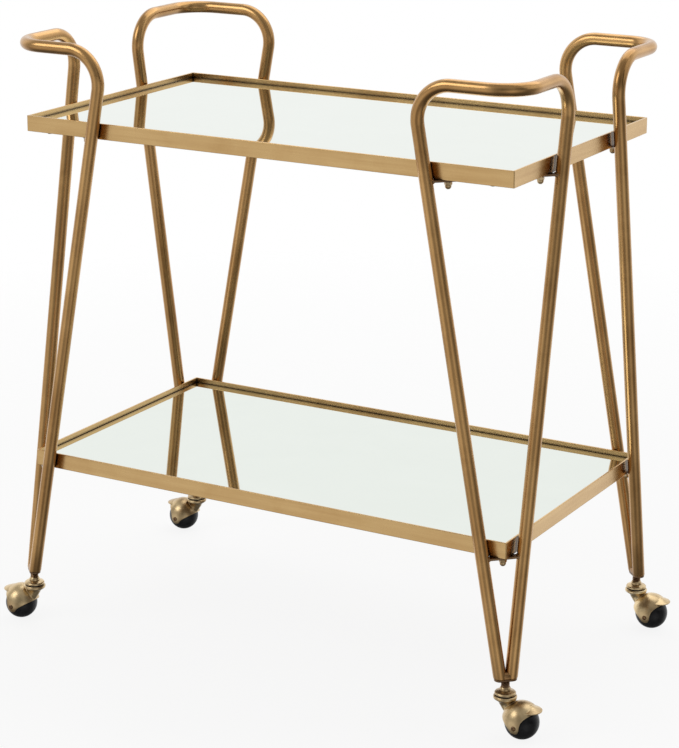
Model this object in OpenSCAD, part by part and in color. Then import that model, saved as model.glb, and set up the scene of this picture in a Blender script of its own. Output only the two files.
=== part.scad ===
/* [Trays] */
// Length of each tray over its rails, along X
tray_l = 813; // [700:1:900]
// Width of each tray over its rails, along Y
tray_w = 457; // [400:1:520]
// Height of the tray rails
rail_h = 24; // [22:1:30]
// Thickness of the flat bar in the rails and the ledges
rail_t = 3; // [2:0.5:4]
// Width of the ledge that carries the board, with the rail's thickness
ledge_w = 20; // [16:1:26]
// Height of the top tray's rim above the floor
top_rim_z = 813.5; // [790:0.5:830]
// Height of the bottom tray's rim above the floor
bottom_rim_z = 283.5; // [270:0.5:300]
// Thickness of the backing board
board_t = 9; // [8:0.5:10]
// Thickness of the mirror glass
glass_t = 4; // [3:0.5:5]

/* [Legs and handles] */
// Outer diameter of the leg tube
tube_d = 19; // [18:0.5:20]
// Wall of the leg tube
tube_wall = 1.5; // [1:0.25:2.5]
// Clear gap between a rail's face and the tube beside it
tube_gap = 3; // [2:0.5:4]
// Lean of a leg from upright, within its rail's plane
leg_lean = 10.3; // [10.3:0.05:10.35]
// Height of the flat end of the legs
foot_z = 85; // [84:0.5:90]
// Height of the handle bar's axis
handle_z = 923; // [920:1:926]
// Bend radius where a leg curls into the handle bar
curl_r = 50; // [48:1:52]
// Bend radius of the handle bar's corner
corner_r = 50; // [46:1:52]
// Straight length of the handle bar between a curl and the corner bend
bar_run = 54; // [52:0.5:60]

/* [Braces and fasteners] */
// Width of the flat brace bars
brace_w = 12; // [11:0.5:16]
// Thickness of the brace bars
brace_t = 3; // [2:0.5:4]
// Diameter of the studs under the tray ledges
stud_d = 6; // [5:0.5:6]
// Distance of the top studs from the two rail faces that meet at their corner
top_stud_near = 10; // [9:0.5:11]

/* [Casters] */
// Diameter of the caster ball
ball_d = 50; // [48:0.5:50]
// Distance from the swivel axis to the ball's centre
trail = 27; // [26:0.5:27.5]
// Diameter of the axle through the ball
axle_d = 5; // [4:0.5:6]
// Diameter of the swivel pin
pin_d = 9; // [8:0.5:9]
// Outer radius of the hood's dome
dome_r = 28.6; // [28.6:0.1:29]
// Wall of the hood
hood_wall = 2; // [1.4:0.1:2]
// Outer radius of the hood's swivel flange
flange_r = 17; // [16:0.5:18]

/* [Hidden] */
$fn = 64;
CORNERS = [
    ["front_left", -1, -1], ["front_right", 1, -1],
    ["back_right", 1, 1], ["back_left", -1, 1]
];

// Colours of the finishes
BRASS = [0.66, 0.49, 0.26];
DARK_BRASS = [0.45, 0.31, 0.16];
PALE_BRASS = [0.78, 0.64, 0.42];
MIRROR = [0.86, 0.9, 0.88];
BOARD = [0.5, 0.38, 0.26];
BLACK = [0.05, 0.05, 0.06];

// Small clearances
fit = 0.05;      // radial clearance of a shaft in its hole
swivel_gap = 0.4; // between the hood and what it turns against
cut = 1;         // how far a cutting shape runs past a face
edge_gap = 1;    // round the mirror and the board, inside the rails
brace_hole = 0.3; // a stud's radial clearance in its brace

// Legs: each tube lies in the upright plane beside one rail. Seen in that plane, with the
// tray's corner at zero and outward positive, its curl turns about (curl_x, curl_z)
leg_out = tube_gap + tube_d / 2;
curl_x = leg_out - corner_r - bar_run;
curl_z = handle_z - curl_r;
// Distance from the tray's corner to a tube's axis, along the rail
function spread(z) = curl_r / cos(leg_lean) - curl_x + tan(leg_lean) * (z - curl_z);
leg_run = (curl_z - foot_z) / cos(leg_lean) - curl_r * tan(leg_lean);
weld_h = 27;     // the tubes' ends are filled with weld up to here
foot_over = 4;   // the tubes are drawn this much long and cut flat
collar_h = 0.6;  // a hair-thin collar joins each straight leg to its curl
collar_over = 0.04;
foot_xy = (leg_out - spread(foot_z)) / 2;  // stem axis, outside the corner each way

// Braces: straight bars from tube to tube under each tray corner
top_brace_s = spread(top_rim_z - rail_h - brace_t / 2);
bottom_brace_s = spread(bottom_rim_z - rail_h - brace_t / 2);
top_stud_far = top_brace_s - leg_out - top_stud_near;
bottom_stud = (bottom_brace_s - leg_out) / 2;
nut_h = 5;
nut_flat = 10;
nut_dome_r = 4.6;
nut_neck_h = 1.5;    // straight part between the hexagon and the dome
nut_top = brace_t + 0.02;
nut_bore_h = 8.4;
stud_below = 8;      // how far a stud stands out under its brace

// Board screws along the ledges
screw_s = 36;
screw_in = 9;
screw_r = 2;
screw_deep = 6;      // into the board
screw_head_r = 4;
screw_rim_h = 1.2;   // straight edge of the head, under its rounded face
screw_face_h = 1;

// Caster stack, heights above the floor
plate_t = 2.5;
plate_edge = 0.8;    // the foot plate stands back this far inside the tubes' outline
stem_r = 5;          // in the foot
neck_d = 12.6;
collar_d = 16;
collar_z = 72.8;
washer_top = 67;
washer_r = 15.4;
washer_z = 62.2;
ring_t = 1.4;
ring_r = 14.6;
flange_top = washer_z - ring_t - swivel_gap;
flange_bottom = 55.4;
seat_z = 51.8;       // underside of the hood's web, above the pin's head
head_z = 48;         // underside of the pin's head
head_r = 5.8;
neck_bore_r = 6.4;
stem_top = foot_z + 10;
ball_r = ball_d / 2;
dome_up = 2.2;       // the dome's centre above the ball's
dome_in = dome_r - hood_wall;
brim_x = 12;         // middle of the round lip, outward of the axle
brim_r = 17.8;       // plan radius of the lip about that middle
neck_z = 45.2;       // foot of the upright part of the hood's neck
horn_z = 49.5;       // the neck's slanted part runs from here on the swivel axis down into the dome
horn_l = 16.6;
horn_tilt = 29;
horn_r = 8.4;
horn_end_r = 7;
web_x = 5;           // middle of the web that fills the gap between flange and dome
web_z = 44;
ear_tip = 9.5;       // how far the ears reach below the axle
head_gap = 0.2;      // between a rivet head and the ear
axle_head_r = 3.6;
axle_head_t = 1.2;

module at_corner(c) {
    if (c[1] < 0) mirror([1, 0, 0]) at_side(c) children();
    else at_side(c) children();
}

module at_side(c) {
    if (c[2] < 0) mirror([0, 1, 0]) translate([tray_l / 2, tray_w / 2, 0]) children();
    else translate([tray_l / 2, tray_w / 2, 0]) children();
}

// Places its children at all four corners
module at_corners() {
    for (c = CORNERS) at_corner(c) children();
}

// The straight part of one leg, in its own plane: along Z down from the curl
module in_leg_line() {
    translate([curl_x, leg_out, curl_z])
        rotate([90, 0, 0])
            rotate([0, 0, 180 + leg_lean])
                translate([curl_r, 0, 0])
                    rotate([-90, 0, 0])
                        children();
}

// One leg with its curl and its half of the handle bar
module half_loop(d, run) {
    in_leg_line() {
        cylinder(d = d, h = run);
        translate([0, 0, -collar_h / 2])
            cylinder(d = d + collar_over, h = collar_h);
    }
    translate([curl_x, leg_out, curl_z])
        rotate([90, 0, 0])
            rotate([0, 0, 90])
                rotate_extrude(angle = 90 + leg_lean, $fn = 96)
                    translate([curl_r, 0])
                        circle(d = d, $fn = 48);
    translate([curl_x, leg_out, handle_z])
        rotate([0, 90, 0])
            cylinder(d = d, h = bar_run);
}

// The whole bent bar of one corner; run is the length of each straight leg
module bent_loop(d, run) {
    half_loop(d, run);
    mirror([1, -1, 0]) half_loop(d, run);
    translate([leg_out - corner_r, leg_out - corner_r, handle_z])
        rotate_extrude(angle = 90, $fn = 96)
            translate([corner_r, 0])
                circle(d = d, $fn = 48);
}

// ---- Trays ----

module tray_frame(rim_z, studs) {
    color(BRASS)
        translate([0, 0, rim_z - rail_h])
            difference() {
                translate([-tray_l / 2, -tray_w / 2, 0])
                    cube([tray_l, tray_w, rail_h]);
                translate([rail_t - tray_l / 2, rail_t - tray_w / 2, rail_t])
                    cube([tray_l - 2 * rail_t, tray_w - 2 * rail_t, rail_h]);
                translate([ledge_w - tray_l / 2, ledge_w - tray_w / 2, -cut])
                    cube([tray_l - 2 * ledge_w, tray_w - 2 * ledge_w, rail_h]);
                at_corners() {
                    for (s = studs) translate([-s[0], -s[1], -cut])
                        cylinder(r = stud_d / 2 + fit, h = rail_t + 2 * cut);
                    for (s = screw_spots()) translate([-s[0], -s[1], -cut])
                        cylinder(r = screw_r + fit, h = rail_t + 2 * cut);
                }
            }
}

function top_studs() = [[top_stud_far, top_stud_near], [top_stud_near, top_stud_far]];
function bottom_studs() = [[bottom_stud, bottom_stud]];
function screw_spots() = [[screw_s, screw_in], [screw_in, screw_s]];

module board(rim_z) {
    l = tray_l - 2 * rail_t - 2 * edge_gap;
    w = tray_w - 2 * rail_t - 2 * edge_gap;
    color(BOARD)
        translate([0, 0, rim_z - rail_h + rail_t])
            difference() {
                translate([-l / 2, -w / 2, 0])
                    cube([l, w, board_t]);
                at_corners() {
                    for (s = screw_spots()) translate([-s[0], -s[1], -cut])
                        cylinder(r = screw_r + fit, h = cut + screw_deep + 0.2);
                }
            }
}

module mirror_glass(rim_z) {
    l = tray_l - 2 * rail_t - 2 * edge_gap;
    w = tray_w - 2 * rail_t - 2 * edge_gap;
    color(MIRROR)
        translate([-l / 2, -w / 2, rim_z - rail_h + rail_t + board_t])
            cube([l, w, glass_t]);
}

// Threaded studs, flush with the ledge and standing down through the brace
module studs_under(rim_z, spots) {
    color(DARK_BRASS)
        at_corners()
            for (s = spots) translate([-s[0], -s[1], rim_z - rail_h - brace_t - stud_below])
                cylinder(d = stud_d, h = stud_below + brace_t + rail_t);
}

// Domed cap nuts, screwed on the studs against the brace
module cap_nuts(rim_z, spots) {
    color(PALE_BRASS)
        at_corners()
            for (s = spots) translate([-s[0], -s[1], rim_z - rail_h - nut_top])
                mirror([0, 0, 1])
                    difference() {
                        union() {
                            cylinder(d = nut_flat / cos(30), h = nut_h, $fn = 6);
                            translate([0, 0, nut_h])
                                cylinder(r = nut_dome_r, h = nut_neck_h);
                            translate([0, 0, nut_h + nut_neck_h])
                                intersection() {
                                    sphere(r = nut_dome_r);
                                    cylinder(r = nut_dome_r + cut, h = nut_dome_r + cut);
                                }
                        }
                        translate([0, 0, -cut])
                            cylinder(r = stud_d / 2 + fit, h = cut + nut_bore_h);
                    }
}

// Pan head screws up through the ledge into the board
module board_screws(rim_z) {
    color(DARK_BRASS)
        at_corners()
            for (s = screw_spots()) translate([-s[0], -s[1], rim_z - rail_h]) {
                translate([0, 0, -screw_rim_h - screw_face_h])
                    cylinder(r1 = 0.8 * screw_head_r, r2 = screw_head_r, h = screw_face_h);
                translate([0, 0, -screw_rim_h])
                    cylinder(r = screw_head_r, h = screw_rim_h);
                cylinder(r = screw_r, h = rail_t + screw_deep);
            }
}

// ---- Leg loops, braces and feet ----

// Both legs of one corner and the handle between them are one bent tube
module leg_loop(c) {
    color(BRASS)
        at_corner(c)
            difference() {
                bent_loop(tube_d, leg_run + foot_over);
                bent_loop(tube_d - 2 * tube_wall, leg_run - weld_h);
                translate([-2 * tube_d, -2 * tube_d, foot_z - 2 * tube_d])
                    cube([4 * tube_d, 4 * tube_d, 2 * tube_d]);
                translate([foot_xy, foot_xy, foot_z - cut])
                    cylinder(r = stem_r + fit, h = stem_top - foot_z + cut + 0.2);
            }
}

module brace(c, rim_z, s, studs) {
    length = sqrt(2) * (s + leg_out);
    middle = (leg_out - s) / 2;
    color(DARK_BRASS)
        at_corner(c)
            difference() {
                translate([middle, middle, rim_z - rail_h - brace_t])
                    rotate([0, 0, -45])
                        translate([-length / 2, -brace_w / 2, 0])
                            cube([length, brace_w, brace_t]);
                in_leg_line()
                    cylinder(d = tube_d, h = leg_run);
                mirror([1, -1, 0])
                    in_leg_line()
                        cylinder(d = tube_d, h = leg_run);
                for (t = studs) translate([-t[0], -t[1], rim_z - rail_h - brace_t - cut])
                    cylinder(r = stud_d / 2 + brace_hole, h = brace_t + 2 * cut);
            }
}

// Plate that closes the two tube ends and takes the caster stem
module foot_plate(c) {
    half = (leg_out + spread(foot_z)) / sqrt(2);
    color(DARK_BRASS)
        at_corner(c)
            translate([foot_xy, foot_xy, foot_z - plate_t])
                difference() {
                    union() {
                        rotate([0, 0, -45])
                            translate([-half, plate_edge - tube_d / 2, 0])
                                cube([2 * half, tube_d - 2 * plate_edge, plate_t]);
                        for (k = [-1, 1])
                            rotate([0, 0, -45])
                                translate([k * half, 0, 0])
                                    cylinder(r = tube_d / 2 - plate_edge, h = plate_t);
                    }
                    translate([0, 0, -cut])
                        cylinder(r = stem_r + fit, h = plate_t + 2 * cut);
                }
}

// ---- Casters: the swivel axis is at the foot, and the ball trails outward along X ----

module at_stem(c) {
    at_corner(c) translate([foot_xy, foot_xy, 0]) children();
}

module caster_stem(c) {
    color(DARK_BRASS)
        at_stem(c) {
            translate([0, 0, foot_z - plate_t])
                cylinder(r = stem_r, h = stem_top - foot_z + plate_t);
            translate([0, 0, collar_z])
                cylinder(d = neck_d, h = foot_z - plate_t - collar_z);
            translate([0, 0, washer_top])
                cylinder(d = collar_d, h = collar_z - washer_top);
            translate([0, 0, seat_z - swivel_gap])
                cylinder(d = pin_d, h = washer_top - seat_z + swivel_gap);
            translate([0, 0, head_z])
                cylinder(r = head_r, h = seat_z - swivel_gap - head_z);
        }
}

module caster_washer(c) {
    color(PALE_BRASS)
        at_stem(c)
            rotate_extrude()
                polygon([
                    [pin_d / 2 + fit, washer_z], [washer_r, washer_z], [washer_r, washer_z + 2],
                    [washer_r - 1.2, washer_z + 3.2], [collar_d / 2 + 1, washer_top],
                    [pin_d / 2 + fit, washer_top]
                ]);
}

module swivel_ring(c) {
    color(BLACK)
        at_stem(c)
            translate([0, 0, washer_z - ring_t])
                difference() {
                    cylinder(r = ring_r, h = ring_t);
                    translate([0, 0, -cut])
                        cylinder(r = pin_d / 2 + fit, h = ring_t + 2 * cut);
                }
}

// Side view of the hood's sheet, about the ball's centre: ears, lip and leading edge
HOOD_SIDE = [
    [-5, -ear_tip + 1.3], [-2, -ear_tip + 0.2], [1, -ear_tip], [4.5, -ear_tip + 1.4], [6.8, -3.5], [7.8, 3],
    [9.2, 9], [12, 13.2], [16.5, 16.8], [21, 19.2], [25, 20.2], [32, 20.2], [32, 36],
    [-36, 36], [-36, 12], [-28, 9], [-22, 6], [-15.5, 2], [-10, -2]
];

// Half section of the hood's peak about the middle of its lip, heights about the ball's centre
PEAK = [
    [0, 25.9], [6, 24.4], [9.7, 22.9], [13.7, 21.3], [brim_r - 0.6, 20], [brim_r, 20.3], [brim_r, 21.1],
    [brim_r - 0.8, 21.7], [13.7, 22.9], [9.7, 24.5], [6, 26.2], [2, 27.6], [0, 27.9]
];

module caster_hood(c) {
    color(PALE_BRASS)
        at_stem(c)
            difference() {
                union() {
                    intersection() {
                        translate([trail, 0, ball_r + dome_up])
                            sphere(r = dome_r, $fn = 96);
                        hood_side(dome_r + cut);
                    }
                    translate([trail + brim_x, 0, ball_r])
                        rotate_extrude($fn = 96)
                            polygon(PEAK);
                    rotate_extrude()
                        polygon([
                            [0, neck_z], [7, neck_z], [8.2, 46.6], [8.8, 48.6], [10.4, 50.8], [13, 53],
                            [flange_r - 1.3, flange_bottom - 0.6], [flange_r, flange_bottom + 0.6],
                            [flange_r, flange_top - 1.5], [flange_r - 1.5, flange_top], [0, flange_top]
                        ]);
                    translate([web_x, 0, 0])
                        rotate_extrude()
                            polygon([
                                [0, web_z], [7.5, web_z], [8.6, 48], [9.6, 51], [10.8, 53.4], [11.8, 55.2],
                                [11.8, flange_bottom + 0.6], [0, flange_bottom + 0.6]
                            ]);
                    translate([0, 0, horn_z])
                        rotate([0, -horn_tilt, 0])
                            translate([0, 0, -horn_l])
                                cylinder(r1 = horn_end_r, r2 = horn_r, h = horn_l);
                }
                translate([trail, 0, ball_r + dome_up])
                    sphere(r = dome_in, $fn = 96);
                translate([0, 0, head_z - swivel_gap])
                    cylinder(r = neck_bore_r, h = seat_z - head_z + swivel_gap);
                translate([0, 0, seat_z - cut])
                    cylinder(r = pin_d / 2 + fit, h = flange_top - seat_z + 2 * cut);
                translate([trail, -2 * ball_r, ball_r])
                    rotate([-90, 0, 0])
                        cylinder(r = axle_d / 2 + fit, h = 4 * ball_r);
            }
}

module hood_side(half) {
    translate([trail, half, ball_r])
        rotate([90, 0, 0])
            linear_extrude(height = 2 * half)
                polygon(HOOD_SIDE);
}

// Rivet through the hood's ears and the ball
module caster_axle(c) {
    ear_y = sqrt(dome_r * dome_r - dome_up * dome_up);
    color(DARK_BRASS)
        at_stem(c)
            translate([trail, 0, ball_r])
                rotate([90, 0, 0]) {
                    cylinder(d = axle_d, h = 2 * ear_y + axle_head_t, center = true);
                    translate([0, 0, ear_y + head_gap])
                        cylinder(r1 = axle_head_r, r2 = axle_head_r - 1, h = axle_head_t);
                    translate([0, 0, -ear_y - head_gap - axle_head_t])
                        cylinder(r1 = axle_head_r - 1, r2 = axle_head_r, h = axle_head_t);
                }
}

module caster_ball(c) {
    color(BLACK)
        at_stem(c)
            translate([trail, 0, ball_r])
                difference() {
                    sphere(r = ball_r, $fn = 96);
                    rotate([90, 0, 0])
                        cylinder(r = axle_d / 2 + fit, h = 3 * ball_r, center = true);
                }
}

tray_frame(top_rim_z, top_studs());  // top_tray_frame
board(top_rim_z);  // top_board
mirror_glass(top_rim_z);  // top_mirror
tray_frame(bottom_rim_z, bottom_studs());  // bottom_tray_frame
board(bottom_rim_z);  // bottom_board
mirror_glass(bottom_rim_z);  // bottom_mirror
studs_under(top_rim_z, top_studs());
cap_nuts(top_rim_z, top_studs());  // top_cap_nuts
board_screws(top_rim_z);  // top_board_screws
studs_under(bottom_rim_z, bottom_studs());
cap_nuts(bottom_rim_z, bottom_studs());  // bottom_cap_nuts
board_screws(bottom_rim_z);  // bottom_board_screws
for (c = CORNERS) {
    leg_loop(c);
    brace(c, top_rim_z, top_brace_s, top_studs());
    brace(c, bottom_rim_z, bottom_brace_s, bottom_studs());
    foot_plate(c);
    caster_stem(c);
    caster_washer(c);
    swivel_ring(c);
    caster_hood(c);
    caster_axle(c);
    caster_ball(c);
}
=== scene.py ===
"""The looks of a bar cart: tubes, rails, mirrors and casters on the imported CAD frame, in metres."""
import math

import bpy
from mathutils import Matrix, Vector


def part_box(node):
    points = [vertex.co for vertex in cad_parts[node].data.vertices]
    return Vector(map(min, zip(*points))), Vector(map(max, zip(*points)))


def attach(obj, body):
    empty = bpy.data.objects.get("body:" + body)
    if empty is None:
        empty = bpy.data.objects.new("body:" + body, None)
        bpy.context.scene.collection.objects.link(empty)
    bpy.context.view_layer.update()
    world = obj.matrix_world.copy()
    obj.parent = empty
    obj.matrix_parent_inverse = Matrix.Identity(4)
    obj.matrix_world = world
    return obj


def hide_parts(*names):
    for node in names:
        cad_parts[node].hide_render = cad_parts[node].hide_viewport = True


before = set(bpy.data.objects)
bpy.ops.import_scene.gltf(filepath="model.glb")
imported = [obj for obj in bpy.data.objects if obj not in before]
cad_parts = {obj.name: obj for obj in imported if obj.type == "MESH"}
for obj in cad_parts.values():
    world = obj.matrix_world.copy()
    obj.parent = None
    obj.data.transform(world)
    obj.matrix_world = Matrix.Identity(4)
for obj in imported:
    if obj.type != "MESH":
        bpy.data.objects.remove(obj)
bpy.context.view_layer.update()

# ---------------------------------------------------------------------------
# Sizes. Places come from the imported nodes; the rest repeats part.scad's own
# dimensions, in metres.
# ---------------------------------------------------------------------------
MM = 0.001
CORNERS = {"front_left": (-1, -1), "front_right": (1, -1), "back_right": (1, 1), "back_left": (-1, 1)}

HALF_L, HALF_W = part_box("top_tray_frame")[1].xy
RAIL_T, LEDGE_W = 3 * MM, 20 * MM
BRACE_W, BRACE_T = 12 * MM, 3 * MM
TUBE_R = 9.5 * MM
LEG_OUT = 12.5 * MM  # a tube's axis, outside the rail's face
LEAN = math.radians(10.3)  # of each leg, along its rail
CURL_R, CORNER_R, BAR_RUN = 50 * MM, 50 * MM, 54 * MM
FOOT_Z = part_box("leg_loop_front_left")[0].z
HANDLE_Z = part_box("leg_loop_front_left")[1].z - TUBE_R
CURL_X = LEG_OUT - CORNER_R - BAR_RUN
CURL_Z = HANDLE_Z - CURL_R
LEG_RUN = (CURL_Z - FOOT_Z) / math.cos(LEAN) - CURL_R * math.tan(LEAN)
PLATE_EDGE = 0.8 * MM  # the foot plate stands back this far inside the tubes
NUT_IN = 10 * MM  # the top cap nuts, in from the nearer rail's face
SCREW_ALONG, SCREW_IN = 36 * MM, 9 * MM  # the board screws, in from the two rail faces at their corner
NECK_R, COLLAR_R, COLLAR_Z = 6.3 * MM, 8 * MM, (67 * MM, 72.8 * MM)
PIN_R, PIN_HEAD_R, PIN_HEAD_H = 4.5 * MM, 5.8 * MM, 3.4 * MM
PIN_BORE_R = 4.6 * MM
WASHER_R, RING_R = 15.4 * MM, 14.5 * MM
BALL_R = 25 * MM
TRAIL = 27 * MM  # the ball's axle, behind the stem
LARGE_FACE, SMALL_FACE = 800 * MM * MM, 100 * MM * MM  # faces above these areas are shaded flat


def spread(z):
    """Distance from the tray's corner to a leg's axis, along the rail, at height z."""
    return CURL_R / math.cos(LEAN) - CURL_X + math.tan(LEAN) * (z - CURL_Z)


FOOT_XY = (LEG_OUT - spread(FOOT_Z)) / 2

# ---------------------------------------------------------------------------
# Mesh building
# ---------------------------------------------------------------------------


class Shape:
    """Vertices, faces and a grain vector (along, across, across) for each vertex."""

    def __init__(self):
        self.verts, self.grain, self.faces = [], [], []

    def add(self, verts, grain, faces):
        start = len(self.verts)
        self.verts += [Vector(v) for v in verts]
        self.grain += [Vector(g) for g in grain]
        self.faces += [[start + i for i in f] for f in faces]

    def moved(self, point_map, flip=False):
        """A copy with every vertex sent through point_map, its faces turned over if flip."""
        other = Shape()
        other.add([point_map(v) for v in self.verts], self.grain,
                  [f[::-1] if flip else f for f in self.faces])
        return other

    def join(self, other):
        self.add(other.verts, other.grain, other.faces)

    def make(self, name, material, body, slot, replaces=(), sharp=38, flat=LARGE_FACE):
        """Makes a piece of the shape, with its grain as a mesh attribute."""
        mesh = bpy.data.meshes.new(name)
        mesh.from_pydata([tuple(v) for v in self.verts], [], self.faces)
        grain = mesh.attributes.new("grain", "FLOAT_VECTOR", "POINT")
        grain.data.foreach_set("vector", [x for g in self.grain for x in g])
        return finished(name, mesh, material, body, replaces, sharp, flat)


def finished(name, mesh, material, body, replaces=(), sharp=38, flat=LARGE_FACE):
    """Turns a mesh into a piece with its material, body and the CAD nodes it stands for. It is
    shaded smooth but for faces larger than flat and edges sharper than sharp degrees."""
    mesh.validate()
    mesh.shade_smooth()
    mesh.set_sharp_from_angle(angle=math.radians(sharp))
    for face in mesh.polygons:
        face.use_smooth = face.area < flat
    mesh.materials.clear()
    mesh.materials.append(material)
    piece = bpy.data.objects.new(name, mesh)
    bpy.context.scene.collection.objects.link(piece)
    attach(piece, body)
    if replaces:
        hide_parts(*replaces)
    return piece


def at_corner(shape, corner):
    """Sends a shape from the corner frame (outward positive, tray corner at zero) to its place."""
    sx, sy = CORNERS[corner]
    return shape.moved(lambda v: (sx * (HALF_L + v.x), sy * (HALF_W + v.y), v.z), flip=sx * sy < 0)


def at_stem(shape, corner):
    """The same for a shape drawn round the caster's stem, with the ball on +X."""
    return at_corner(shape.moved(lambda v: (v.x + FOOT_XY, v.y + FOOT_XY, v.z)), corner)


def grid_faces(rows, columns, wrap_rows=False):
    """Quads of a grid of vertices, row by row, every row closed on itself."""
    faces = []
    for i in range(rows if wrap_rows else rows - 1):
        for j in range(columns):
            k, n = (i + 1) % rows, (j + 1) % columns
            faces.append((i * columns + j, i * columns + n, k * columns + n, k * columns + j))
    return faces


def stack(rings, grain=None, wrap=False):
    """A skin over rings of equally many points, closed at both ends or, with wrap, round on itself."""
    shape, count = Shape(), len(rings[0])
    verts = [p for ring in rings for p in ring]
    faces = grid_faces(len(rings), count, wrap_rows=wrap)
    if not wrap:
        faces.append(list(range(count))[::-1])
        faces.append([(len(rings) - 1) * count + j for j in range(count)])
    shape.add(verts, grain or verts, faces)
    return shape


def rounded(points, radius, steps=4):
    """A closed outline with every corner rounded. radius is one number or one for each corner."""
    out, n = [], len(points)
    for i, p in enumerate(points):
        a, b, c = Vector(points[i - 1]), Vector(p), Vector(points[(i + 1) % n])
        r = radius[i] if isinstance(radius, (list, tuple)) else radius
        u, v = (a - b).normalized(), (c - b).normalized()
        half = u.angle(v) / 2
        if r <= 0 or half > math.pi / 2 - 0.01:
            out.append(tuple(b))
            continue
        back = min(r / math.tan(half), 0.48 * (a - b).length, 0.48 * (c - b).length)
        start, end = b + u * back, b + v * back
        for k in range(steps + 1):
            t = k / steps
            out.append(tuple(start * (1 - t) ** 2 + b * 2 * t * (1 - t) + end * t ** 2))
    return out


def circle(r, z, segments):
    """Points round Z at height z."""
    turns = [2 * math.pi * j / segments for j in range(segments)]
    return [(r * math.cos(a), r * math.sin(a), z) for a in turns]


def lathe(profile, segments, closed=False):
    """Turns a profile of (radius, height) round Z."""
    return stack([circle(r, z, segments) for r, z in profile], wrap=closed)


def sweep(path, radius, segments):
    """A round bar along a path. radius is a number or a function of (index, angle)."""
    rings, grain = [], []
    along, side = 0.0, None
    for i, p in enumerate(path):
        before, after = path[max(i - 1, 0)], path[min(i + 1, len(path) - 1)]
        tangent = (Vector(after) - Vector(before)).normalized()
        if side is None:
            side = tangent.orthogonal().normalized()
        side = (side - tangent * side.dot(tangent)).normalized()
        up = tangent.cross(side)
        if i:
            along += (Vector(p) - Vector(path[i - 1])).length
        ring = []
        for j in range(segments):
            a = 2 * math.pi * j / segments
            r = radius(i, a) if callable(radius) else radius
            offset = side * (r * math.cos(a)) + up * (r * math.sin(a))
            ring.append(Vector(p) + offset)
            grain.append((along, r * math.cos(a), r * math.sin(a)))
        rings.append(ring)
    return stack(rings, grain)


def wobble(x, seed):
    """Smooth, repeatable unevenness between -1 and 1."""
    return (math.sin(1.7 * x + seed) + math.sin(2.9 * x + 2.3 * seed) + math.sin(5.3 * x + 0.7 * seed)) / 3


def bead(path, radius, ripple, seed):
    """A weld bead: a small bar with the ripples that a weld pool leaves, thin at both ends."""
    last = len(path) - 1
    tip, swell = 0.35, 4  # share of the radius at the ends, and how quickly it grows from there

    def r(i, a):
        end = min(1.0, tip + swell * min(i, last - i) / last)
        return radius * end * (1 + ripple * math.sin(2.1 * i) + 0.12 * wobble(i + 2 * a, seed))

    return sweep(path, r, 12)


# ---------------------------------------------------------------------------
# Materials
# ---------------------------------------------------------------------------


class Nodes:
    """Short names for building a node tree. An input takes a plain value or another node's output."""

    def __init__(self, tree):
        self.tree = tree

    def add(self, kind, **settings):
        node = self.tree.nodes.new(kind)
        for key, value in settings.items():
            setattr(node, key, value)
        return node

    def feed(self, socket, value):
        if hasattr(value, "links"):
            self.tree.links.new(value, socket)
        else:
            socket.default_value = value

    def coords(self, scale=(1, 1, 1), source="Object"):
        """Texture coordinates times scale, from the object or from the mesh's own grain."""
        mapping = self.add("ShaderNodeMapping")
        mapping.inputs["Scale"].default_value = scale
        if source == "grain":
            place = self.add("ShaderNodeAttribute", attribute_name="grain").outputs["Vector"]
        else:
            place = self.add("ShaderNodeTexCoord").outputs[source]
        self.feed(mapping.inputs["Vector"], place)
        return mapping.outputs["Vector"]

    def noise(self, vector, scale=1.0, detail=4.0, rough=0.55, distortion=0.0):
        node = self.add("ShaderNodeTexNoise")
        node.inputs["Scale"].default_value = scale
        node.inputs["Detail"].default_value = detail
        node.inputs["Roughness"].default_value = rough
        node.inputs["Distortion"].default_value = distortion
        self.feed(node.inputs["Vector"], vector)
        return node.outputs["Fac"]

    def ramp(self, value, stops):
        """Colours by value, from stops of (value, colour)."""
        node = self.add("ShaderNodeValToRGB")
        elements = node.color_ramp.elements
        while len(elements) < len(stops):
            elements.new(0.5)
        for element, (position, colour) in zip(elements, stops):
            element.position = position
            element.color = (*colour, 1)
        self.feed(node.inputs["Fac"], value)
        return node.outputs["Color"]

    def span(self, value, low, high, start=0.0, end=1.0, smooth=False):
        """Takes value from the range start to end to the range low to high."""
        node = self.add("ShaderNodeMapRange")
        if smooth:
            node.interpolation_type = "SMOOTHSTEP"
        for key, number in (("From Min", start), ("From Max", end), ("To Min", low), ("To Max", high)):
            node.inputs[key].default_value = number
        self.feed(node.inputs["Value"], value)
        return node.outputs["Result"]

    def mix(self, factor, a, b, blend="MIX"):
        node = self.add("ShaderNodeMix", data_type="RGBA", blend_type=blend)
        for socket, value in ((node.inputs[0], factor), (node.inputs[6], a), (node.inputs[7], b)):
            self.feed(socket, (*value, 1) if isinstance(value, tuple) else value)
        return node.outputs[2]

    def math(self, operation, a, b):
        node = self.add("ShaderNodeMath", operation=operation)
        for socket, value in zip(node.inputs, (a, b)):
            self.feed(socket, value)
        return node.outputs[0]

    def bump(self, height, distance, strength=1.0, normal=None):
        node = self.add("ShaderNodeBump")
        node.inputs["Distance"].default_value = distance
        node.inputs["Strength"].default_value = strength
        self.feed(node.inputs["Height"], height)
        if normal is not None:
            self.feed(node.inputs["Normal"], normal)
        return node.outputs["Normal"]

    def blend(self, factor, a, b):
        """One shader over another."""
        node = self.add("ShaderNodeMixShader")
        for socket, value in zip(node.inputs, (factor, a, b)):
            self.feed(socket, value)
        return node.outputs[0]


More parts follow.
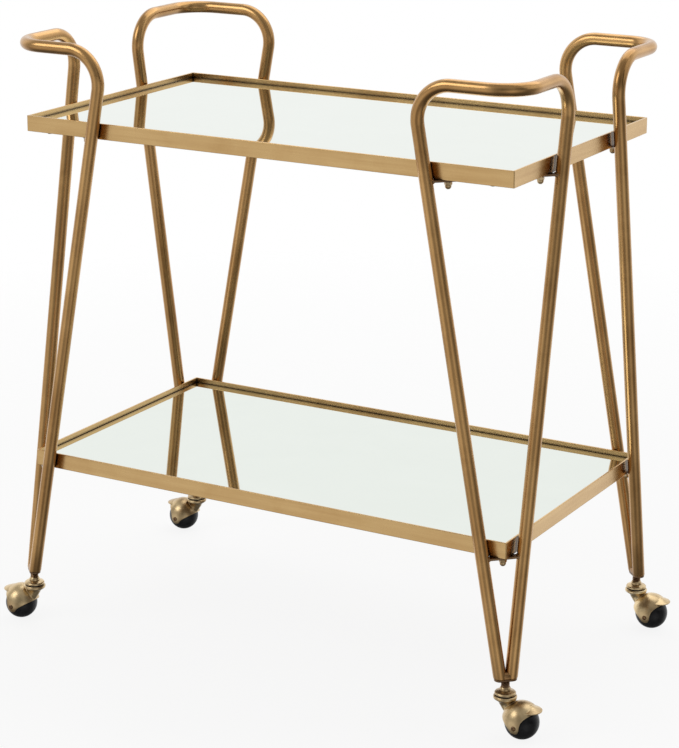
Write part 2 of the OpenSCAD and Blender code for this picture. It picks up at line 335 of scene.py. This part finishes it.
class Material(Nodes):
    """A material's node tree, with its Principled shader."""

    def __init__(self, name):
        self.material = bpy.data.materials.new(name)
        self.material.use_nodes = True
        super().__init__(self.material.node_tree)
        self.shader = self.tree.nodes["Principled BSDF"]

    def set(self, **values):
        """Feeds the shader's inputs, named with underscores for spaces."""
        for key, value in values.items():
            self.feed(self.shader.inputs[key.replace("_", " ")], value)


def antique_brass(name, light, dark, roughness, streaks=0.5, coat=0.4, reach=8 * MM,
                  recess=((0.2, 0.45), (0.7, 1.0)), edge_highlight=0.0):
    """Antique brass finish: brown gold in soft lengthwise streaks and clouds, with a trace of the
    rubbing along the bar, and darker in the recesses by painted shade, with a little patina. recess
    pairs openness, felt over reach, with the tone of that painted shade. The last argument lightens
    the convex edges as a painted highlight."""
    n = Material(name)
    patch = n.noise(n.coords(), scale=15, detail=5, rough=0.55, distortion=0.5)
    fleck = n.noise(n.coords(), scale=320, detail=4, rough=0.6)
    line = n.noise(n.coords((9, 700, 700), "grain"), scale=1, detail=3, rough=0.6)
    broad = n.noise(n.coords((5, 130, 130), "grain"), scale=1, detail=4, rough=0.5)
    tone = n.math("ADD", n.math("MULTIPLY", patch, 1 - streaks), n.math("MULTIPLY", broad, streaks))
    tone = n.math("ADD", tone, n.span(fleck, -0.05, 0.05))
    tone = n.math("ADD", tone, n.span(line, -0.04, 0.04))
    middle = tuple((a + b) / 2 for a, b in zip(light, dark))
    metal = n.ramp(tone, [(0.34, dark), (0.49, middle), (0.64, light)])
    # ambient occlusion darkens the recesses: painted shade, with a little patina
    hollow = n.add("ShaderNodeAmbientOcclusion", samples=6)
    hollow.inputs["Distance"].default_value = reach
    recess_shade = [(openness, (level, level ** 1.2, level ** 1.45)) for openness, level in recess]
    metal = n.mix(1.0, metal, n.ramp(hollow.outputs["AO"], recess_shade), "MULTIPLY")
    # painted highlight: pale colour on the convex edges, where light catches the rims
    if edge_highlight:
        edge = n.span(n.add("ShaderNodeNewGeometry").outputs["Pointiness"], 0.0, edge_highlight, 0.53, 0.60)
        metal = n.mix(edge, metal, (0.98, 0.86, 0.62))
    worn = n.span(patch, roughness - 0.04, roughness + 0.05, 0.3, 0.7)
    rub = n.math("ADD", n.span(line, -0.04, 0.04), worn)
    fine = n.bump(line, 0.04 * MM, 0.03)
    n.set(Base_Color=metal, Metallic=1.0, Roughness=rub, Coat_Weight=coat, Coat_Roughness=0.2,
          Normal=n.bump(fleck, 0.04 * MM, 0.03, fine))
    return n.material


def mirror_material():
    """Plain silvered glass: pale grey-green, with the faint haze of wiping."""
    n = Material("mirror")
    haze = n.noise(n.coords(), scale=6, detail=4, rough=0.6, distortion=1.2)
    wipe = n.noise(n.coords((9, 60, 9)), scale=1, detail=4)
    film = n.math("MULTIPLY", haze, wipe)
    silver = n.ramp(haze, [(0.3, (0.785, 0.832, 0.780)), (0.7, (0.800, 0.846, 0.795))])
    n.set(Base_Color=silver, Metallic=1.0, Roughness=n.span(film, 0.012, 0.05, 0.15, 0.4))
    return n.material


def board_material():
    """Dark painted fibreboard with a fine pressed grain."""
    n = Material("board")
    fibre = n.noise(n.coords((40, 900, 900)), scale=1, detail=5, rough=0.7)
    cloud = n.noise(n.coords(), scale=18, detail=4)
    paint = n.ramp(cloud, [(0.3, (0.055, 0.036, 0.022)), (0.7, (0.085, 0.056, 0.034))])
    n.set(Base_Color=n.mix(n.span(fibre, 0.0, 1.0, 0.3, 0.7), paint, (0.12, 0.083, 0.052)),
          Roughness=n.span(fibre, 0.55, 0.8), Normal=n.bump(fibre, 0.15 * MM, 0.5))
    return n.material


def ball_material():
    """Satin black caster ball with scuffs."""
    n = Material("ball")
    scuff = n.noise(n.coords(), scale=130, detail=6, rough=0.7, distortion=1.5)
    grain = n.noise(n.coords(), scale=1500, detail=2)
    n.set(Base_Color=n.ramp(scuff, [(0.35, (0.003, 0.003, 0.0035)), (0.72, (0.010, 0.010, 0.011))]),
          Roughness=n.span(scuff, 0.24, 0.40, 0.3, 0.7), Normal=n.bump(grain, 0.03 * MM, 0.3))
    n.shader.inputs["Specular IOR Level"].default_value = 0.32
    return n.material


def nylon_material():
    """Black nylon with a fine moulded texture."""
    n = Material("nylon")
    grain = n.noise(n.coords(), scale=900, detail=3)
    n.set(Base_Color=n.ramp(grain, [(0.3, (0.012, 0.012, 0.012)), (0.7, (0.022, 0.021, 0.02))]),
          Roughness=n.span(grain, 0.45, 0.6), Normal=n.bump(grain, 0.04 * MM, 0.4))
    return n.material


# light and dark tone, and roughness, of each brass; the recess tones set the painted shade in its hollows
brass = antique_brass("antique_brass", (0.70, 0.41, 0.155), (0.40, 0.205, 0.062), 0.25)
# the rail brass is lighter than the tube brass partly as painted light; its near-black recess tone paints
# a dark shade line along the glass and beside the tubes
rail_brass = antique_brass("rail_brass", (0.76, 0.505, 0.22), (0.60, 0.37, 0.145), 0.24, reach=5 * MM,
                           recess=((0.60, 0.03), (0.86, 1.0)))
dark_brass = antique_brass("dark_brass", (0.42, 0.25, 0.12), (0.13, 0.07, 0.036), 0.34)
# the caster brass gets painted shade in its recesses and a painted highlight on its convex edges
pale_brass = antique_brass("pale_brass", (0.95, 0.74, 0.42), (0.40, 0.26, 0.12), 0.31, 0.1,
                           recess=((0.35, 0.28), (0.75, 1.0)), edge_highlight=0.6)
weld_brass = antique_brass("weld_brass", (0.62, 0.36, 0.145), (0.30, 0.155, 0.055), 0.32, 0.2,
                           recess=((0.2, 0.7), (0.6, 1.0)))
mirror = mirror_material()
board = board_material()
ball_black = ball_material()
nylon = nylon_material()

# ---------------------------------------------------------------------------
# Trays
# ---------------------------------------------------------------------------


def rectangle_ring(inset, z, corner_r, half_l=HALF_L, half_w=HALF_W, steps=4):
    """Points round a rectangle at height z, set in by inset, with its corners rounded."""
    x, y = half_l - inset, half_w - inset
    least_r = 0.15 * MM
    r = max(corner_r - inset, least_r)
    points = []
    for cx, cy, turn in ((x - r, y - r, 0), (r - x, y - r, 1), (r - x, r - y, 2), (x - r, r - y, 3)):
        for k in range(steps + 1):
            a = math.pi / 2 * (turn + k / steps)
            points.append((cx + r * math.cos(a), cy + r * math.sin(a), z))
    return points


def tray_frame(level, z0, z1):
    """The mitred rail and its ledge: one L-shaped bar round the tray, with eased edges."""
    ledge_z = z0 + RAIL_T
    outline = [(0, z0), (0, z1), (RAIL_T, z1), (RAIL_T, ledge_z), (LEDGE_W, ledge_z), (LEDGE_W, z0)]
    eases = [0.6 * MM, 0.7 * MM, 0.6 * MM, 1.0 * MM, 0.4 * MM, 0.4 * MM]
    corner_r = 1.3 * MM
    other_bar = 0.4  # shifts the grain of the long bars, so that it breaks at the mitres
    rings, grain = [], []
    for inset, z in rounded(outline, eases, 3):
        ring = rectangle_ring(inset, z, corner_r)[::-1]
        rings.append(ring)
        for x, y, _ in ring:
            on_long = abs(abs(y) - HALF_W) < abs(abs(x) - HALF_L)
            grain.append((x if on_long else y, inset + (other_bar if on_long else 0), z))
    shape = stack(rings, grain, wrap=True)
    shape.make(f"{level}_tray_rails", rail_brass, "frame", "brass", [f"{level}_tray_frame"])


def mirror_plate(level):
    """The mirror: a glass plate with its upper edge polished round."""
    low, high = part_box(f"{level}_mirror")
    edge, arris, corner_r = 0.7 * MM, 0.3 * MM, 2 * MM
    steps = [(arris, low.z), (0, low.z + arris), (0, high.z - edge)]
    steps += [(edge * (1 - math.cos(a)), high.z - edge * (1 - math.sin(a))) for a in (0.5, 1.0)]
    steps += [(edge, high.z)]
    rings = [rectangle_ring(inset, z, corner_r, high.x, high.y) for inset, z in steps]
    stack(rings).make(f"{level}_mirror_glass", mirror, "frame", "mirror", [f"{level}_mirror"], 60)


for level in ("top", "bottom"):
    low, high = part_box(f"{level}_tray_frame")
    tray_frame(level, low.z, high.z)
    mirror_plate(level)

# ---------------------------------------------------------------------------
# Leg loops
# ---------------------------------------------------------------------------


def leg_point(run):
    """A point on one leg's axis, in the corner frame, run metres down from its curl."""
    return Vector((CURL_X - CURL_R * math.cos(LEAN) + run * math.sin(LEAN), LEG_OUT,
                   CURL_Z - CURL_R * math.sin(LEAN) - run * math.cos(LEAN)))


def half_path():
    """One leg from the foot up, its curl and its half of the handle bar, up to the corner bend."""
    leg_steps, curl_steps, bar_steps = 50, 28, 6
    path = [leg_point(LEG_RUN * (1 - k / leg_steps)) for k in range(leg_steps + 1)]
    bend = math.pi / 2 + LEAN
    for k in range(1, curl_steps + 1):
        a = math.pi + LEAN - bend * k / curl_steps
        path.append(Vector((CURL_X + CURL_R * math.cos(a), LEG_OUT, CURL_Z + CURL_R * math.sin(a))))
    for k in range(1, bar_steps + 1):
        path.append(Vector((CURL_X + BAR_RUN * k / bar_steps, LEG_OUT, HANDLE_Z)))
    return path


def loop_shape():
    """Both legs and the handle of one corner: a single bent tube."""
    segments, steps = 48, 20
    path = half_path()
    centre = LEG_OUT - CORNER_R
    bend = [Vector((centre + CORNER_R * math.sin(a), centre + CORNER_R * math.cos(a), HANDLE_Z))
            for a in [math.pi / 2 * k / steps for k in range(1, steps)]]
    other = [p.yxz for p in path[::-1]]
    return flat_feet(sweep(path + bend + other, TUBE_R, segments), segments)


def flat_feet(shape, segments):
    """Cuts both ends of the tube level at the foot's height and rounds their edge over."""
    ease = 2.4 * MM
    edge = [(0, ease), (0.13 * ease, 0.5 * ease), (0.5 * ease, 0.13 * ease), (ease, 0)]
    down, foot = leg_point(1) - leg_point(0), leg_point(LEG_RUN)
    last = len(shape.verts) // segments - 1
    for end, step, run, axis in ((0, 1, down, foot), (last, -1, down.yxz, foot.yxz)):
        for row, (rise, inset) in enumerate(edge):
            z = FOOT_Z + rise
            centre = Vector((axis.x, axis.y, z))
            start = (end + step * row) * segments
            for j in range(start, start + segments):
                v = shape.verts[j]
                out = v + run * ((z - v.z) / run.z) - centre
                shape.verts[j] = centre + out * (1 - inset / out.length)
    return shape


def crotch_weld():
    """The weld that fills the grooves between two tubes, from crotch to foot, dressed nearly flush."""
    top = FOOT_Z + (math.sqrt(2) * TUBE_R - LEG_OUT - spread(FOOT_Z)) / math.tan(LEAN)
    low, rise = FOOT_Z + 0.3 * MM, top + 0.9 * MM - FOOT_Z
    half_along, half_across, least = 7.6 * MM, 9.1 * MM, 0.2 * MM
    rings, rows, count = [], 24, 64
    for k in range(rows + 1):
        share = math.sin(math.pi / 2 * k / rows)
        z = low + rise * share
        middle = (LEG_OUT - spread(z)) / 2
        eased_foot = 1 - 0.16 * (1 - min(1, k / 3)) ** 2
        full = math.sqrt(1 - share ** 5) * eased_foot
        ring = []
        for j in range(count):
            a = 2 * math.pi * j / count
            c, t = math.cos(a), math.sin(a)
            lump = 1 + 0.022 * wobble(3 * a + 0.5 * k, 2) + 0.014 * wobble(9 * a + 1.3 * k, 5)
            u = half_along * math.copysign(abs(c) ** 0.5, c) * (0.25 + 0.75 * full)
            w = half_across * math.copysign(abs(t) ** 0.5, t) * full * lump + math.copysign(least, t)
            ring.append(Vector((middle + (u + w) / math.sqrt(2), middle + (w - u) / math.sqrt(2), z)))
        rings.append(ring[::-1])
    return stack(rings)


def brace_shape(top, bottom, s):
    """A flat bar from tube to tube under the corner, with eased edges and its ends inside the tubes."""
    half_w, ease, tuck = BRACE_W / 2, 0.5 * MM, 2 * MM
    length = math.sqrt(2) * (s + LEG_OUT) - 2 * TUBE_R + 2 * tuck
    middle = (LEG_OUT - s) / 2
    outline = rounded([(-half_w, bottom), (half_w, bottom), (half_w, top), (-half_w, top)], ease, 3)
    along, across = Vector((1, -1, 0)) / math.sqrt(2), Vector((1, 1, 0)) / math.sqrt(2)
    rings = []
    for t in (-0.5, -0.25, 0, 0.25, 0.5):
        centre = Vector((middle, middle, 0)) + along * (t * length)
        rings.append([centre + across * a + Vector((0, 0, b)) for a, b in outline[::-1]])
    grain = [(p.dot(along), p.dot(across), top + bottom - p.z) for ring in rings for p in ring]
    return stack(rings, grain)


def brace_welds(z_top, z_bottom, seed):
    """Short beads where a brace's upper and lower faces meet each tube."""
    shape, steps, bead_r = Shape(), 14, 1.45 * MM
    inward, half_turn = math.radians(-45), math.radians(38)
    for z, grow in ((z_bottom, 1.25), (z_top, 1.0)):
        centre = Vector((-spread(z), LEG_OUT, z))
        points = []
        for k in range(steps + 1):
            a = inward + half_turn * (2 * k / steps - 1)
            points.append(centre + Vector((math.cos(a), math.sin(a), 0)) * (TUBE_R + 0.1 * MM))
        shape.join(bead(points, bead_r * grow, 0.2, seed))
    shape.join(shape.moved(lambda v: v.yxz, flip=True))
    return shape


def foot_plate_shape(z0, z1):
    """The plate under the two tube ends: a slot outline with eased edges."""
    half, r = (LEG_OUT + spread(FOOT_Z)) / math.sqrt(2), TUBE_R - PLATE_EDGE
    along, across = Vector((1, -1, 0)) / math.sqrt(2), Vector((1, 1, 0)) / math.sqrt(2)
    rings, steps = [], 16
    ease, tuck = 0.7 * MM, 0.4 * MM
    for inset, z in ((ease, z0), (0.3 * ease, z0 + 0.3 * ease), (0, z0 + ease), (0, z1 + tuck)):
        ring = []
        for side in (1, -1):
            for k in range(steps + 1):
                a = math.pi * (k / steps - 0.5) + (0 if side > 0 else math.pi)
                out = (r - inset) * (along * math.cos(a) + across * math.sin(a))
                p = along * (side * half) + out
                ring.append(Vector((FOOT_XY + p.x, FOOT_XY + p.y, z)))
        rings.append(ring[::-1])
    return stack(rings)


tray_under = {level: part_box(f"{level}_tray_frame")[0].z for level in ("top", "bottom")}
loop = loop_shape()
weld = crotch_weld()
for number, corner in enumerate(CORNERS):
    at_corner(loop, corner).make(
        f"leg_loop_{corner}_tube", brass, "frame", "brass", [f"leg_loop_{corner}"])
    welds = at_corner(weld, corner)
    for level, z_top in tray_under.items():
        z_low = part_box(f"{level}_brace_{corner}")[0].z
        s = spread((z_top + z_low) / 2)
        at_corner(brace_shape(z_top, z_low, s), corner).make(
            f"{level}_brace_{corner}_bar", dark_brass, "frame", "dark_brass", [f"{level}_brace_{corner}"],
            flat=SMALL_FACE)
        welds.join(at_corner(brace_welds(z_top, z_low, number + len(level)), corner))
    welds.make(f"welds_{corner}", weld_brass, "frame", "dark_brass")
    low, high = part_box(f"foot_plate_{corner}")
    at_corner(foot_plate_shape(low.z, high.z), corner).make(
        f"foot_plate_{corner}_eased", dark_brass, "frame", "dark_brass", [f"foot_plate_{corner}"])

# ---------------------------------------------------------------------------
# Fasteners
# ---------------------------------------------------------------------------


def cap_nut_shape():
    """A domed cap nut hanging from z = 0: a chamfered hexagon, a short neck and a round dome."""
    flat_r, hex_h, dome_r, neck_h = 5 * MM, 5 * MM, 4.6 * MM, 1.5 * MM
    upper_chamfer, lower_chamfer, tip_r = 0.8 * MM, 1 * MM, 0.2 * MM
    segments, dome_steps, sector = 72, 12, math.pi / 3
    rings = []
    for h in (0, 0.3 * MM, 0.7 * MM, 2.5 * MM, 4.2 * MM, 4.6 * MM, 4.9 * MM):
        limit = flat_r / math.cos(sector / 2)
        limit -= 0.9 * max(0, upper_chamfer - h) + 1.1 * max(0, h - hex_h + lower_chamfer)
        ring = []
        for j in range(segments):
            a = 2 * math.pi * j / segments
            r = min(limit, flat_r / math.cos((a + sector / 2) % sector - sector / 2))
            ring.append((r * math.cos(a), r * math.sin(a), -h))
        rings.append(ring)
    dome = [(dome_r, hex_h)]
    for k in range(dome_steps):
        a = math.pi / 2 * k / dome_steps
        dome.append((dome_r * math.cos(a), hex_h + neck_h + dome_r * math.sin(a)))
    dome.append((tip_r, hex_h + neck_h + dome_r))
    rings += [circle(r, -h, segments) for r, h in dome]
    return stack([ring[::-1] for ring in rings])


def screw_head_shape():
    """A pan head seen from below, with a cross recess."""
    segments, recess_r, half_slot, recess_depth = 64, 2.1 * MM, 0.42 * MM, 1.1 * MM
    profile = [(4.0, 0), (4.0, 1.0), (3.8, 1.5), (3.4, 1.9), (2.9, 2.1)]
    profile += [(r, 2.2) for r in (2.3, 1.9, 1.5, 1.1, 0.8, 0.5, 0.25)]
    rings = []
    for r, h in profile:
        ring = []
        for x, y, _ in circle(r * MM, 0, segments):
            recessed = r * MM < recess_r and min(abs(x), abs(y)) < half_slot
            ring.append((x, y, (recess_depth if recessed else 0) - h * MM))
        rings.append(ring[::-1])
    return stack(rings)


def fasteners():
    """Cap nuts under the braces and screw heads under the ledges, each turned its own way."""
    nut, head = cap_nut_shape(), screw_head_shape()
    screw_spots = [(SCREW_ALONG, SCREW_IN), (SCREW_IN, SCREW_ALONG)]
    first_turn, next_turn = 0.4, 1.3
    for level, z_under in tray_under.items():
        z_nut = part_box(f"{level}_cap_nuts")[1].z
        reach = spread(z_under - BRACE_T / 2) - LEG_OUT
        nut_spots = [(reach - NUT_IN, NUT_IN), (NUT_IN, reach - NUT_IN)]
        if level == "bottom":
            nut_spots = [(reach / 2, reach / 2)]
        nuts, heads = Shape(), Shape()
        for number, (sx, sy) in enumerate(CORNERS.values()):
            for shape, group, spots, z in (
                    (nut, nuts, nut_spots, z_nut), (head, heads, screw_spots, z_under)):
                for i, (x, y) in enumerate(spots):
                    turn = Matrix.Rotation(first_turn + next_turn * (number * 2 + i), 3, "Z")
                    place = Vector((sx * (HALF_L - x), sy * (HALF_W - y), z))
                    group.join(shape.moved(lambda v: turn @ v + place))
        nuts.make(f"{level}_cap_nuts_domed", pale_brass, "frame", "caster_brass", [f"{level}_cap_nuts"])
        heads.make(f"{level}_screw_heads", dark_brass, "frame", "dark_brass", [f"{level}_board_screws"])


fasteners()

# ---------------------------------------------------------------------------
# Casters
# ---------------------------------------------------------------------------


def stem_shape(node):
    """The stem under the foot plate: a short stretch of thread, and the swivel pin below the collar."""
    low, plate_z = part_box(node)[0].z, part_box("foot_plate_front_left")[0].z
    bottom, top = COLLAR_Z[1] - 0.4 * MM, plate_z + 0.5 * MM
    pitch, depth, segments, steps = 1.5 * MM, 0.7 * MM, 48, 40
    rings = []
    for k in range(steps + 1):
        z = bottom + (top - bottom) * k / steps
        ring = []
        for j in range(segments):
            a = 2 * math.pi * j / segments
            phase = (z / pitch - j / segments) % 1
            r = NECK_R - depth * abs(2 * phase - 1)
            ring.append((r * math.cos(a), r * math.sin(a), z))
        rings.append(ring)
    shape = stack(rings)
    core_r, ease, head_z, pin_z = 1 * MM, 0.4 * MM, low + PIN_HEAD_H, COLLAR_Z[0] + 0.2 * MM
    pin = [(core_r, low), (PIN_HEAD_R, low), (PIN_HEAD_R, head_z), (PIN_R, head_z), (PIN_R, pin_z),
           (core_r, pin_z)]
    shape.join(lathe(rounded(pin, [0, ease, ease, 0, 0, 0], 3), segments))
    return shape


def collar_shape():
    """The stem's collar: a low turned ring that narrows to the thread."""
    low, high = COLLAR_Z
    core_r, top_r, shoulder = 1 * MM, 6.6 * MM, 3.4 * MM
    profile = [(core_r, low), (COLLAR_R, low), (COLLAR_R, low + shoulder), (top_r, high), (core_r, high)]
    return lathe(rounded(profile, [0, 0.5 * MM, 1.2 * MM, 0.5 * MM, 0], 4), 64)


def washer_shape(low, high):
    """The fixed upper swivel plate: a shallow cone with a rolled edge and a raised middle."""
    rim_h, rim_top_r, rim_top_h = 2.1 * MM, 14.2 * MM, 3.3 * MM
    cone_r, middle_r, middle_h = 9.4 * MM, 8.6 * MM, 0.3 * MM
    profile = [(PIN_BORE_R, low.z), (WASHER_R, low.z), (WASHER_R, low.z + rim_h),
               (rim_top_r, low.z + rim_top_h), (cone_r, high.z - middle_h), (middle_r, high.z),
               (PIN_BORE_R, high.z)]
    eases = [0, 0.5 * MM, 0.9 * MM, 0.9 * MM, 0.6 * MM, 0.4 * MM, 0]
    return lathe(rounded(profile, eases, 4), 96, closed=True)


def ring_shape(low, high):
    """The nylon ring between the swivel plate and the hood."""
    ease = 0.4 * MM
    profile = [(PIN_BORE_R, low.z), (RING_R, low.z), (RING_R, high.z), (PIN_BORE_R, high.z)]
    return lathe(rounded(profile, [0, ease, ease, 0], 3), 96, closed=True)


def on_axle(shape):
    """Lays a shape turned round Z along the axle (Y), at the ball's centre."""
    return shape.moved(lambda v: (v.x + TRAIL, -v.z, v.y + BALL_R))


def ball_shape():
    """The ball round its axle: a fine parting line, and a step round each end of the bore."""
    bore_r, mouth_r, chamfer, step_in = 2.6 * MM, 3.4 * MM, 0.3 * MM, 1.2 * MM
    line_depth, line_w, bore_half = 0.12 * MM, 0.28 * MM, 19 * MM
    start, steps = math.asin(mouth_r / BALL_R), 72
    face = BALL_R * math.cos(start)
    mouth = [(bore_r, -bore_half), (bore_r, step_in - face), (bore_r + chamfer, chamfer - face)]
    profile = list(mouth)
    near_line = [steps / 2 + k / 4 for k in (-3, -2, -1, 1, 2, 3)]
    for k in sorted([*range(steps + 1)] + near_line):
        a = start + (math.pi - 2 * start) * k / steps
        z = -BALL_R * math.cos(a)
        groove = line_depth * math.exp(-(z / line_w) ** 2)
        profile.append(((BALL_R - groove) * math.sin(a), z))
    profile += [(r, -z) for r, z in mouth[::-1]]
    return on_axle(lathe(profile, 96, closed=True))


def axle_shape(half):
    """A hollow rivet, half long each way: a thin bar with a rolled, dished head outside each ear."""
    rolled = [(0.4, 1.5), (1.5, 1.4), (1.9, 0.35), (2.3, 0), (3.0, 0.15), (3.5, 0.7), (3.6, 1.15),
              (2.45, 1.25)]
    head = [(r * MM, half - dip * MM) for r, dip in rolled]
    return on_axle(lathe(head + [(r, -z) for r, z in head[::-1]], 48))


def hood_piece(corner):
    """The cast hood: the CAD solid remeshed finely, its edges softened as a die casting's are."""
    name = f"caster_hood_{corner}_cast"
    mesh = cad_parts[f"caster_hood_{corner}"].data.copy()
    mesh.name = name
    work = bpy.data.objects.new("work", mesh)
    bpy.context.scene.collection.objects.link(work)
    remesh = work.modifiers.new("remesh", "REMESH")
    remesh.mode = "VOXEL"
    remesh.voxel_size = 0.42 * MM
    soften = work.modifiers.new("soften", "SMOOTH")
    soften.factor = 0.5
    soften.iterations = 9
    work.modifiers.new("thin", "DECIMATE").ratio = 0.35
    graph = bpy.context.evaluated_depsgraph_get()
    result = bpy.data.meshes.new_from_object(work.evaluated_get(graph))
    result.name = name
    bpy.data.objects.remove(work)
    bpy.data.meshes.remove(mesh)
    return finished(
        name, result, pale_brass, f"caster_{corner}", [f"caster_hood_{corner}"], 75)


ball = ball_shape()
for corner in CORNERS:
    body, wheel = f"caster_{corner}", f"ball_{corner}"
    at_stem(stem_shape(f"caster_stem_{corner}"), corner).make(
        f"caster_stem_{corner}_threaded", dark_brass, "frame", "dark_brass", [f"caster_stem_{corner}"], 50)
    at_stem(collar_shape(), corner).make(f"caster_collar_{corner}", pale_brass, "frame", "caster_brass")
    at_stem(washer_shape(*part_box(f"caster_washer_{corner}")), corner).make(
        f"caster_washer_{corner}_rolled", pale_brass, "frame", "caster_brass", [f"caster_washer_{corner}"])
    at_stem(ring_shape(*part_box(f"swivel_ring_{corner}")), corner).make(
        f"swivel_ring_{corner}_eased", nylon, "frame", "nylon", [f"swivel_ring_{corner}"])
    hood_piece(corner)
    low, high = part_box(f"caster_axle_{corner}")
    at_stem(axle_shape((high.y - low.y) / 2), corner).make(
        f"caster_axle_{corner}_rivet", dark_brass, body, "dark_brass", [f"caster_axle_{corner}"])
    at_stem(ball, corner).make(
        f"caster_ball_{corner}_round", ball_black, wheel, "ball", [f"caster_ball_{corner}"], 50)

# ---------------------------------------------------------------------------
# CAD nodes that stay as they are
# ---------------------------------------------------------------------------
for level in ("top", "bottom"):
    for node, material in ((f"{level}_board", board), (f"{level}_studs", dark_brass)):
        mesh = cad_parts[node].data
        mesh.materials.clear()
        mesh.materials.append(material)

# ---------------------------------------------------------------------------
# Studio
# ---------------------------------------------------------------------------


PHOTO_SIDE = (0.515, -0.857)  # towards the photographer, along the floor
# the room round the cart, below and above the horizon, as (place, brightness): 0.5 is on the
# photographer's side, 0 and 1 are behind the cart
LOW_PANELS = [(0.0, 0.97), (0.16, 0.92), (0.22, 0.46), (0.28, 0.74), (0.36, 0.78), (0.42, 0.34),
              (0.5, 0.44), (0.555, 0.80), (0.60, 0.50), (0.67, 0.18), (0.75, 0.30), (0.80, 0.70),
              (0.86, 0.94), (1.0, 0.97)]
HIGH_PANELS = [(0.0, 1.0), (0.16, 1.0), (0.22, 0.35), (0.28, 0.46), (0.36, 0.50), (0.44, 0.24),
               (0.48, 0.16), (0.56, 0.34), (0.62, 0.10), (0.72, 0.16), (0.79, 0.8), (0.84, 1.0),
               (1.0, 1.0)]
CEILING, GROUND = (0.38, 0.38, 0.38), (0.12, 0.12, 0.12)


def floor_material(clear_from, clear_to):
    """Pale and mostly glowing, so that only faint shadows show, and clear towards the edge."""
    n = Material("floor")
    own_light = 0.88
    n.set(Base_Color=(0.93, 0.93, 0.93, 1), Roughness=0.85, Specular_IOR_Level=0.2)
    distance = n.add("ShaderNodeVectorMath", operation="LENGTH")
    n.feed(distance.inputs[0], n.coords())
    glow = n.add("ShaderNodeEmission").outputs[0]
    clear = n.add("ShaderNodeBsdfTransparent").outputs[0]
    pale = n.blend(own_light, n.shader.outputs[0], glow)
    fade = n.span(distance.outputs["Value"], 0.0, 1.0, clear_from, clear_to)
    n.feed(n.tree.nodes["Material Output"].inputs["Surface"], n.blend(fade, pale, clear))
    return n.material


def studio_floor():
    """A round floor that no reflection shows."""
    radius, rings, segments = 2.6, 24, 96
    verts, faces = [(0, 0, 0)], []
    for i in range(1, rings + 1):
        verts += circle(radius * i / rings, 0, segments)
    for j in range(segments):
        n = (j + 1) % segments
        faces.append((0, 1 + j, 1 + n))
        for i in range(rings - 1):
            a, b = 1 + i * segments, 1 + (i + 1) * segments
            faces.append((a + j, b + j, b + n, a + n))
    mesh = bpy.data.meshes.new("floor")
    mesh.from_pydata(verts, [], faces)
    mesh.materials.append(floor_material(1.1, radius - 0.1))
    floor = bpy.data.objects.new("floor", mesh)
    floor.visible_glossy = False
    bpy.context.scene.collection.objects.link(floor)


def studio_world():
    """White for the camera; for reflections a room that is white behind the cart and has tall dim and
    light panels on the photographer's side."""
    world = bpy.data.worlds.new("studio")
    bpy.context.scene.world = world
    world.use_nodes = True
    n = Nodes(world.node_tree)
    n.tree.nodes.clear()
    photo_x, photo_y = PHOTO_SIDE
    parts = n.add("ShaderNodeSeparateXYZ")
    n.feed(parts.inputs[0], n.add("ShaderNodeTexCoord").outputs["Generated"])
    x, y, z = parts.outputs
    ahead = n.math("ADD", n.math("MULTIPLY", x, photo_x), n.math("MULTIPLY", y, photo_y))
    across = n.math("SUBTRACT", n.math("MULTIPLY", y, photo_x), n.math("MULTIPLY", x, photo_y))
    turn = n.math("ADD", n.math("DIVIDE", n.math("ARCTAN2", across, ahead), 2 * math.pi), 0.5)
    low, high = [n.ramp(turn, [(place, (level, level, level)) for place, level in panels])
                 for panels in (LOW_PANELS, HIGH_PANELS)]
    room = n.mix(n.span(z, 0.0, 1.0, -0.06, 0.12, smooth=True), low, high)
    room = n.mix(n.span(z, 0.0, 1.0, 0.45, 0.85, smooth=True), room, CEILING)
    room = n.mix(n.span(z, 0.0, 1.0, -0.85, -0.35, smooth=True), GROUND, room)
    seen, white = n.add("ShaderNodeBackground"), n.add("ShaderNodeBackground")
    n.feed(seen.inputs["Color"], room)
    white.inputs["Color"].default_value = (1, 1, 1, 1)
    camera_ray = n.add("ShaderNodeLightPath").outputs["Is Camera Ray"]
    both = n.blend(camera_ray, seen.outputs[0], white.outputs[0])
    n.feed(n.add("ShaderNodeOutputWorld").inputs["Surface"], both)


def softbox(name, place, target, size, power):
    """A rectangular lamp at place that faces target."""
    data = bpy.data.lights.new(name, "AREA")
    data.shape = "RECTANGLE"
    data.size, data.size_y = size
    data.energy = power
    lamp = bpy.data.objects.new(name, data)
    lamp.location = place
    lamp.rotation_euler = (Vector(target) - Vector(place)).to_track_quat("-Z", "Y").to_euler()
    bpy.context.scene.collection.objects.link(lamp)


def camera():
    """The photo's viewpoint, as fitted to its perspective."""
    place, yaw, pitch, roll = (1.7651, -3.0828, 1.4715), 0.5402, 0.2534, -0.0019
    data = bpy.data.cameras.new("camera")
    data.sensor_fit, data.sensor_width = "AUTO", 36
    data.lens = 115.4
    data.shift_x, data.shift_y = 0.068, -0.119
    data.clip_start, data.clip_end = 0.05, 100
    cam = bpy.data.objects.new("camera", data)
    aim = Matrix.Rotation(yaw, 4, "Z") @ Matrix.Rotation(math.pi / 2 - pitch, 4, "X")
    cam.matrix_world = Matrix.Translation(place) @ aim @ Matrix.Rotation(roll, 4, "Z")
    bpy.context.scene.collection.objects.link(cam)
    bpy.context.scene.camera = cam


studio_floor()
studio_world()
softbox("key", (-1.9, -2.6, 2.9), (0, 0, 0.4), (2.0, 2.0), 26)
softbox("fill", (2.8, 0.6, 2.2), (0, 0, 0.5), (1.6, 2.4), 6)
softbox("overhead", (0.0, 1.4, 3.0), (0, 0, 0.3), (3.2, 2.2), 24)
camera()
bpy.context.scene.view_settings.view_transform = "Standard"
bpy.context.scene.view_settings.look = "None"
